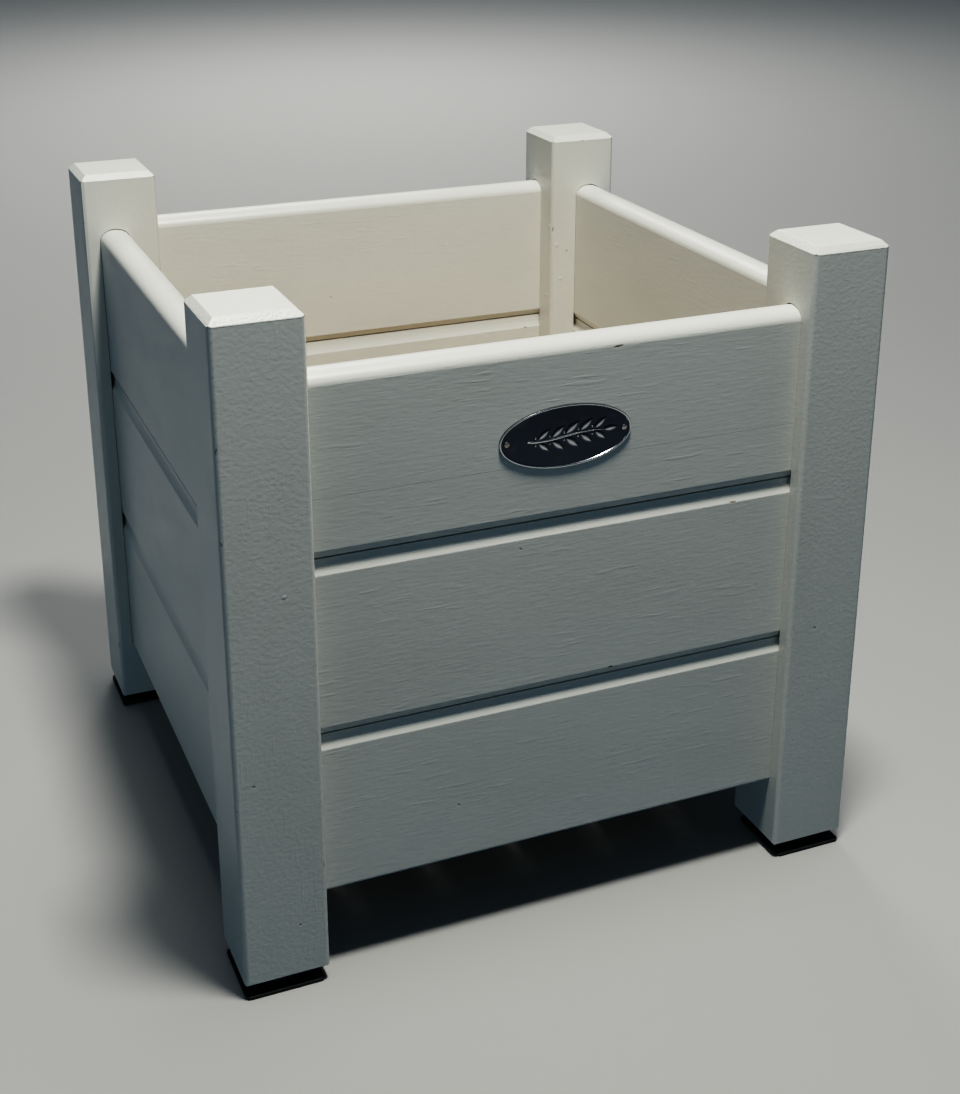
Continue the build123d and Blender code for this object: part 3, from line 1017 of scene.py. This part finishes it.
@dataclass
class Plaque:
    """An oval pressed plate with a rolled rim and a leafy sprig in relief, on two domed pins."""

    rim: float = 2.0
    plate: float = 0.8             # thickness inside the rim
    dome: float = 0.35             # rise of the plate's middle
    steps: int = 112
    stem_half: float = 33.0
    stem_width: float = 0.8
    leaf_length: float = 16.0
    leaf_width: float = 6.4
    leaf_slant: float = 38.0
    leaf_pitch: float = 12.0
    leaf_height: float = 0.6
    leaf_lead: float = 5.0         # how far a leaf's middle is ahead of its joint with the stem
    berry_reach: float = 3.0
    berry_radius: float = 0.85
    sink: float = 0.06             # how far the relief starts below the plate
    skirt: float = 0.35            # how far its sides go down
    pin_x: float = 49.8
    pin_radius: float = 2.3
    pin_height: float = 0.85
    pin_brim: float = 0.25         # straight part of a pin's head

    def __post_init__(self) -> None:
        """Read the plaque's size and place from the frame."""
        low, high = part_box("oval_plaque")
        self.half_width = (high.x - low.x) / 2 / MM
        self.half_height = (high.z - low.z) / 2 / MM
        self.thick = (high.y - low.y) / MM
        self.place = Matrix.Translation(((low.x + high.x) / 2, high.y, (low.z + high.z) / 2))
        self.place @= Matrix.Rotation(math.pi / 2, 4, "X")

    def oval(self) -> BMesh:
        """The plate, lying in XY with its back at Z = 0: a flat, a rolled rim and a low dome."""
        bm = bmesh.new()
        bmesh.ops.create_circle(bm, cap_ends=True, segments=self.steps, radius=1.0)
        size = Vector((self.half_width, self.half_height, 1.0)) * MM
        bmesh.ops.scale(bm, vec=size, verts=bm.verts)
        # Each step goes inwards and up, in mm, over the rolled rim and down to the plate.
        up = self.thick
        route = [(0.0, up * 0.55), (0.2, up * 0.3), (0.5, up * 0.15), (0.5, -up * 0.06),
                 (0.35, -up * 0.2), (0.25, self.plate - up * 0.84), (0.2, -0.1)]
        lifted = bmesh.ops.extrude_face_region(bm, geom=bm.faces[:], use_keep_orig=True)["geom"]
        face = next(item for item in lifted if isinstance(item, BMFace))
        level = 0.0
        for inwards, rise in route:
            if inwards:
                bmesh.ops.inset_region(bm, faces=[face], thickness=inwards * MM, use_even_offset=True)
            level += rise
            for vert in face.verts:
                vert.co.z = level * MM
        last_share = 1.0
        for share in (0.75, 0.45, 0.18):
            bmesh.ops.inset_individual(bm, faces=[face], thickness=0.0)
            squeeze = share / last_share
            bmesh.ops.scale(bm, vec=(squeeze, squeeze, 1.0), verts=face.verts)
            for vert in face.verts:
                vert.co.z = (level + self.dome * (1.0 - share ** 2)) * MM
            last_share = share
        bmesh.ops.recalc_face_normals(bm, faces=bm.faces)
        return bm

    def dome_height(self, x: float, y: float) -> float:
        """Height of the domed plate at a point, in mm."""
        inside = (x / (self.half_width - self.rim)) ** 2 + (y / (self.half_height - self.rim)) ** 2
        return self.plate - 0.1 + self.dome * max(0.0, 1.0 - inside)

    def leaf(self, x: float, y: float, angle: float, scale: float) -> BMesh:
        """One pointed leaf with a raised midrib.

        Args:
            x: middle of the leaf along the stem, in mm.
            y: middle of the leaf across the stem.
            angle: its turn from the stem, in degrees.
            scale: its size.

        Returns:
            The leaf.
        """
        bm = bmesh.new()
        bmesh.ops.create_grid(bm, x_segments=12, y_segments=6, size=1.0)
        length = self.leaf_length / 2 * scale
        width = self.leaf_width / 2 * scale
        for vert in bm.verts:
            along, across = vert.co.x, vert.co.y
            fullness = math.cos(along * math.pi / 2) ** 0.8 * (1.0 - 0.18 * along)
            body = (1.0 - across ** 2) * 0.75 + 0.35 * max(0.0, 1.0 - abs(across) * 5.0)
            vert.co = Vector((along * length, across * width * fullness, body * fullness * self.leaf_height))
        turn = Matrix.Rotation(math.radians(angle), 4, "Z")
        bmesh.ops.transform(bm, matrix=Matrix.Translation((x, y, 0.0)) @ turn, verts=bm.verts)
        for vert in bm.verts:
            vert.co.z += self.dome_height(vert.co.x, vert.co.y) - self.sink
        bmesh.ops.remove_doubles(bm, verts=bm.verts, dist=0.02)
        bmesh.ops.scale(bm, vec=(MM, MM, MM), verts=bm.verts)
        return self.with_skirt(bm)

    def with_skirt(self, bm: BMesh) -> BMesh:
        """Close an open relief with sides that go down into the plate and a base.

        Args:
            bm: the open relief.

        Returns:
            The same mesh, closed.
        """
        rim = [edge for edge in bm.edges if edge.is_boundary]
        made = bmesh.ops.extrude_edge_only(bm, edges=rim)["geom"]
        lower = [item for item in made if isinstance(item, BMVert)]
        bmesh.ops.translate(bm, vec=(0.0, 0.0, -self.skirt * MM), verts=lower)
        bmesh.ops.holes_fill(bm, edges=[item for item in made if isinstance(item, BMEdge)])
        bmesh.ops.recalc_face_normals(bm, faces=bm.faces)
        return bm

    def stem(self) -> BMesh:
        """The sprig's gently waved stem, a half-round bar that thins to its tip."""
        bm = bmesh.new()
        bmesh.ops.create_grid(bm, x_segments=48, y_segments=6, size=1.0)
        for vert in bm.verts:
            along, across = vert.co.x, vert.co.y
            width = self.stem_width * (1.15 - 0.55 * along) * min(1.0, 6.0 * (1.0 - abs(along)) + 0.3)
            x = along * self.stem_half
            y = self.stem_wave(x) + across * width
            raised = math.sqrt(max(0.0, 1.0 - across ** 2)) * 0.7
            vert.co = Vector((x, y, self.dome_height(x, y) - self.sink + raised))
        bmesh.ops.scale(bm, vec=(MM, MM, MM), verts=bm.verts)
        return self.with_skirt(bm)

    @staticmethod
    def stem_wave(x: float) -> float:
        """Where the stem is across the plaque, in mm, at a place along it."""
        return 1.6 * math.sin(x / 13.0)

    def berry(self, x: float, y: float) -> BMesh:
        """Make a small round berry, half sunk in the plate.

        Args:
            x: its place along the plaque, in mm.
            y: its place across the plaque.

        Returns:
            The berry.
        """
        bm = bmesh.new()
        bmesh.ops.create_uvsphere(bm, u_segments=14, v_segments=8, radius=self.berry_radius * MM)
        centre = Vector((x, y, self.dome_height(x, y))) * MM
        bmesh.ops.scale(bm, vec=(1.0, 1.0, 0.75), verts=bm.verts)
        bmesh.ops.translate(bm, vec=centre, verts=bm.verts)
        return bm

    def sprig(self) -> list[BMesh]:
        """Stem, leaves and berries."""
        parts = [self.stem()]
        for step in range(-2, 3):
            x = step * self.leaf_pitch
            scale = 1.0 - 0.08 * abs(step)
            for side in (-1, 1):
                reach = self.leaf_length * 0.38 * scale
                leaf_y = self.stem_wave(x) + side * reach
                berry_y = self.stem_wave(x) + side * self.berry_reach
                parts.append(self.leaf(x + self.leaf_lead, leaf_y, side * self.leaf_slant, scale))
                parts.append(self.berry(x - 2.0, berry_y))
        tip_y = self.stem_wave(self.stem_half)
        parts.append(self.leaf(self.stem_half + self.leaf_lead, tip_y, 4.0, 0.85))
        return parts

    def build(self, nickel: bpy.types.Material, pin_steel: bpy.types.Material) -> None:
        """Make the plaque and its pins.

        Args:
            nickel: the plate's finish.
            pin_steel: the pins' finish.
        """
        bm = gather([self.oval(), *self.sprig()])
        layer = bm.verts.layers.float.new(RELIEF)
        for vert in bm.verts:
            x, y, z = vert.co / MM
            vert[layer] = min(1.0, max(0.0, (z - self.dome_height(x, y)) / self.leaf_height))
        publish(bm, "oval_plaque_pressed", nickel, self.place, ["oval_plaque"])
        heads = [self.pin(side * self.pin_x) for side in (-1, 1)]
        publish(gather(heads), "plaque_pins_domed", pin_steel, self.place,
                ["plaque_pins"])

    def pin(self, x: float) -> BMesh:
        """Make a domed pin through the plate.

        Args:
            x: its place along the plaque, in mm.

        Returns:
            The pin.
        """
        rise = self.pin_height - self.pin_brim
        dome = [(self.pin_radius * math.cos(angle), self.pin_brim + rise * math.sin(angle))
                for angle in (math.radians(15.0 * step) for step in range(6))]
        shank = [(0.0, -12.0), (0.9, -11.0), (0.9, 0.0), (self.pin_radius, 0.0)]
        bm = turned([*shank, *dome, (0.0, self.pin_height)], 24)
        bmesh.ops.translate(bm, vec=Vector((x, 0.0, self.dome_height(x, 0.0) + 0.05)) * MM, verts=bm.verts)
        return bm


@dataclass
class FloorAndFixings:
    """The slats, bearers and fasteners, whose shapes come with the frame and only need a finish."""

    def build(self) -> None:
        """Dress each node."""
        lengthwise = BareTimber("bare_timber_bearers", Run.ALONG_X).make()
        crosswise = BareTimber("bare_timber_slats", Run.ALONG_Y).make()
        steel = FastenerSteel("zinc_steel").make()
        for name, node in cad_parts.items():
            if name in ("bearer_front", "bearer_back"):
                self.dress(node, lengthwise)
            elif name.endswith("_screws") or name.startswith("pins_"):
                self.dress(node, steel)
            elif name.startswith("slat_"):
                self.dress(node, crosswise)

    @staticmethod
    def dress(node: bpy.types.Object, material: bpy.types.Material) -> None:
        """Give every slot of a node one finish.

        Args:
            node: the CAD piece.
            material: the finish.
        """
        for slot in node.material_slots:
            slot.material = material
        LOG.info("%s: %s", node.name, material.name)


# ---- Studio -------------------------------------------------------------------------
@dataclass
class Studio:
    """Pale floor, lamps, cool surround and the camera."""

    lens: float = 54.21
    shift_up: float = -0.14
    heading: float = -22.70          # degrees from +Y, turned about Z
    pitch: float = -19.89
    eye: tuple[float, float, float] = (-0.5146, -1.3222, 0.8919)
    floor_size: float = 14.0

    def build(self) -> None:
        """Make everything that isn't part of the planter."""
        self.add_floor()
        self.add_lamp("key_lamp", (0.0, -0.545, 2.20), (0.0, -0.2, 0.3), 0.30, 28.0, (1.0, 0.98, 0.92))
        self.add_lamp("left_lamp", (-1.3, -0.5, 1.9), (0.0, 0.0, 0.3), 0.5, 0.8, (0.95, 0.98, 1.0))
        self.add_lamp("back_lamp", (0.5, 2.5, 2.6), (0.3, 1.6, 0.0), 1.2, 20.0, (1.0, 0.97, 0.92))
        self.add_lamp("far_lamp", (1.3, 4.0, 3.0), (1.3, 4.0, 0.0), 1.6, 22.0, (1.0, 0.98, 0.95), 105.0)
        self.add_ceiling_light()
        self.add_sky()
        self.add_camera()
        scene = bpy.context.scene
        scene.view_settings.view_transform = "Filmic"
        scene.view_settings.look = "Very High Contrast"

    def add_floor(self) -> None:
        """A wide flat floor."""
        bm = bmesh.new()
        bmesh.ops.create_grid(bm, x_segments=1, y_segments=1, size=self.floor_size / 2)
        mesh = bpy.data.meshes.new("studio_floor")
        bm.to_mesh(mesh)
        bm.free()
        mesh.materials.append(PaleFloor().make())
        floor = stand("studio_floor", mesh)
        floor.visible_diffuse = False      # shaded faces keep the cool light of the surround

    @staticmethod
    def add_lamp(name: str, place: Sequence[float], target: Sequence[float], size: float,
                 power: float, colour: Colour, spread: float = 180.0) -> None:
        """A round soft lamp.

        Args:
            name: the lamp's name.
            place: where it hangs.
            target: what it points at.
            size: its diameter.
            power: watts.
            colour: its tint.
            spread: the angle of its cone, in degrees.
        """
        lamp = bpy.data.lights.new(name, "AREA")
        lamp.shape = "DISK"
        lamp.size = size
        lamp.energy = power
        lamp.color = colour
        lamp.spread = math.radians(spread)
        holder = stand(name, lamp)
        holder.location = place
        away = Vector(target) - Vector(place)
        holder.rotation_euler = away.to_track_quat("-Z", "Y").to_euler()

    @staticmethod
    def add_ceiling_light() -> None:
        """Even light from high overhead, which keeps the far floor pale."""
        sun = bpy.data.lights.new("ceiling_light", "SUN")
        sun.energy = 0.38
        sun.angle = math.radians(16.0)
        sun.color = (1.0, 0.98, 0.94)
        holder = stand("ceiling_light", sun)
        holder.rotation_euler = (math.radians(-3.0), math.radians(3.0), 0.0)

    @staticmethod
    def add_sky() -> None:
        """A dim cool surround."""
        world = bpy.data.worlds.new("studio_surround")
        world.use_nodes = True
        back = world.node_tree.nodes["Background"]
        back.inputs["Color"].default_value = (0.50, 0.74, 0.96, 1.0)
        back.inputs["Strength"].default_value = 0.09
        bpy.context.scene.world = world

    def add_camera(self) -> None:
        """The camera, a little above and left of the plaque's side."""
        data = bpy.data.cameras.new("camera")
        data.lens = self.lens
        data.shift_y = self.shift_up
        camera = stand("camera", data)
        camera.location = self.eye
        camera.rotation_euler = (math.radians(90.0 + self.pitch), 0.0, math.radians(self.heading))
        bpy.context.scene.camera = camera


def main() -> None:
    """Build the planter's looks and the studio, piece by piece."""
    logging.basicConfig(level=logging.INFO, format="%(name)s: %(message)s")
    Studio().build()
    half_post = Post(Corner.FRONT_LEFT).side / 2
    board = Board(Wall.FRONT, Level.TOP)
    post_paint = SatinPaint("post_paint", grain_mm=0.012, peel_mm=0.17, peel_pitch=(330.0, 250.0, 250.0),
                            edge_across=half_post, edge_through=half_post, edge_width=4.5, chips=0.65,
                            end_grain_mm=0.35).make()
    board_paint = SatinPaint("board_paint", edge_across=board.face_height / 2,
                             edge_through=board.thick / 2, edge_width=1.6, chips=0.70).make()
    for corner in Corner:
        Post(corner).build(post_paint)
        PinFillers(corner).build(post_paint)
    for wall in Wall:
        for level in Level:
            Board(wall, level).build(board_paint)
    rubber = BlackMoulding("pad_rubber", (0.022, 0.025, 0.03), 0.6, 0.06).make()
    plastic = BlackMoulding("glide_plastic", (0.012, 0.012, 0.014), 0.42, 0.02).make()
    for corner in Corner:
        Foot(corner).build(rubber, plastic)
    # The plaque's metal carries a painted dark reflection and painted highlights.
    Plaque().build(DarkNickel("dark_nickel").make(), FastenerSteel("pin_steel").make())
    FloorAndFixings().build()


if __name__ == "__main__":
    main()
